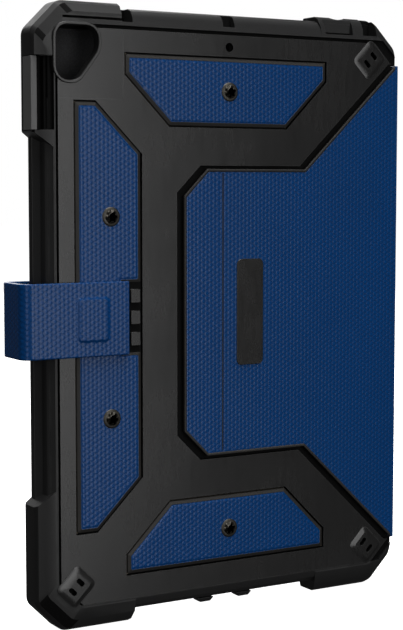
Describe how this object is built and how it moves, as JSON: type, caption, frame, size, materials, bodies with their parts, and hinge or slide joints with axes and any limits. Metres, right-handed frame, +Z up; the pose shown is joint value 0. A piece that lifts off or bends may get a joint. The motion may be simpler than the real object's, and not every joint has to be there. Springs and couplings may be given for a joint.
{
  "type": "tablet case",
  "caption": "Rugged folio tablet case: soft tray, bumpers and hard back frame with blue pads, hinged spine and front cover, closing strap with stylus loop, sprung keys.",
  "frame": {"origin": "on the floor, under the middle of the closed case's bounding box", "axes": "+Z up along the tall side, +X towards the spine, +Y from the back face towards the front cover"},
  "size_m": [0.1958, 0.0242, 0.2696],
  "materials": {
    "soft_black": "matte moulded soft plastic",
    "rocker_grey": "satin moulded soft plastic",
    "hard_black": "fine textured hard plastic",
    "blue_skin": "coated fabric embossed with small staggered dots",
    "dark_edge": "pressed dark edge",
    "badge_black": "satin black plate",
    "stiffener": "pressed fibre board",
    "magnet_steel": "plated steel",
    "screw_dark": "dark oxide steel",
    "nut_brass": "turned brass",
    "lining_dark": "short napped microfibre"
  },
  "bodies": {
    "shell": {"tray_left_wall": "soft_black", "tray_right_wall": "soft_black", "tray_top_wall": "soft_black", "tray_bottom_wall": "soft_black", "tray_back": "soft_black", "tray_back_corner": "soft_black", "corner_bumper_top_left": "soft_black", "corner_bumper_top_right": "soft_black", "corner_bumper_bottom_left": "soft_black", "corner_bumper_bottom_right": "soft_black", "armour_frame": "hard_black", "armour_corner": "hard_black", "camera_surround": "hard_black", "anchor_tabs": "hard_black", "top_insert": "blue_skin", "left_insert": "blue_skin", "bottom_insert": "blue_skin", "insert_boards": "stiffener", "back_screws": "screw_dark", "screw_nuts": "nut_brass", "back_panel_skin": "blue_skin", "back_panel_bead": "dark_edge", "back_panel_fixed_board": "stiffener", "back_panel_stand_board": "stiffener", "panel_badge": "badge_black", "jack_collar": "hard_black", "port_guards": "soft_black", "tray_lining": "lining_dark", "cover_keepers": "magnet_steel", "strap_comb": "hard_black", "strap_band": "blue_skin", "strap_badge": "blue_skin"},
    "spine": {"spine_skin": "blue_skin", "spine_board": "stiffener"},
    "cover": {"cover_skin": "blue_skin", "cover_board": "stiffener", "cover_lining": "lining_dark", "cover_closure_magnets": "magnet_steel", "cover_stand_magnets": "magnet_steel"},
    "strap_loop": {"strap_loop": "blue_skin"},
    "strap_tip": {"strap_tip": "blue_skin", "strap_magnet": "magnet_steel"},
    "volume_rocker": {"volume_rocker": "rocker_grey"},
    "power_key": {"power_key": "soft_black"}
  },
  "joints": [
    {"name": "spine_hinge", "type": "hinge", "parent": "shell", "child": "spine", "pos_m": [0.09695, -0.0084, 0.1352], "axis": [0, 0, -1], "range_deg": [0, 180]},
    {"name": "cover_hinge", "type": "hinge", "parent": "spine", "child": "cover", "pos_m": [0.09695, 0.0088, 0.1352], "axis": [0, 0, -1], "range_deg": [0, 180]},
    {"name": "strap_hinge", "type": "hinge", "parent": "shell", "child": "strap_loop", "pos_m": [-0.08745, -0.01055, 0.1352], "axis": [0, 0, 1], "range_deg": [0, 100]},
    {"name": "strap_tip_hinge", "type": "hinge", "parent": "strap_loop", "child": "strap_tip", "pos_m": [-0.08745, 0.01105, 0.1352], "axis": [0, 0, 1], "range_deg": [0, 100]},
    {"name": "volume_rock", "type": "hinge", "parent": "shell", "child": "volume_rocker", "pos_m": [-0.08725, -0.0012, 0.2307], "axis": [0, 1, 0], "range_deg": [-2, 2], "stiffness_Nm_per_rad": 0.3},
    {"name": "power_press", "type": "slide", "parent": "shell", "child": "power_key", "axis": [0, 0, -1], "range_m": [0, 0.0006], "stiffness_N_per_m": 800}
  ]
}
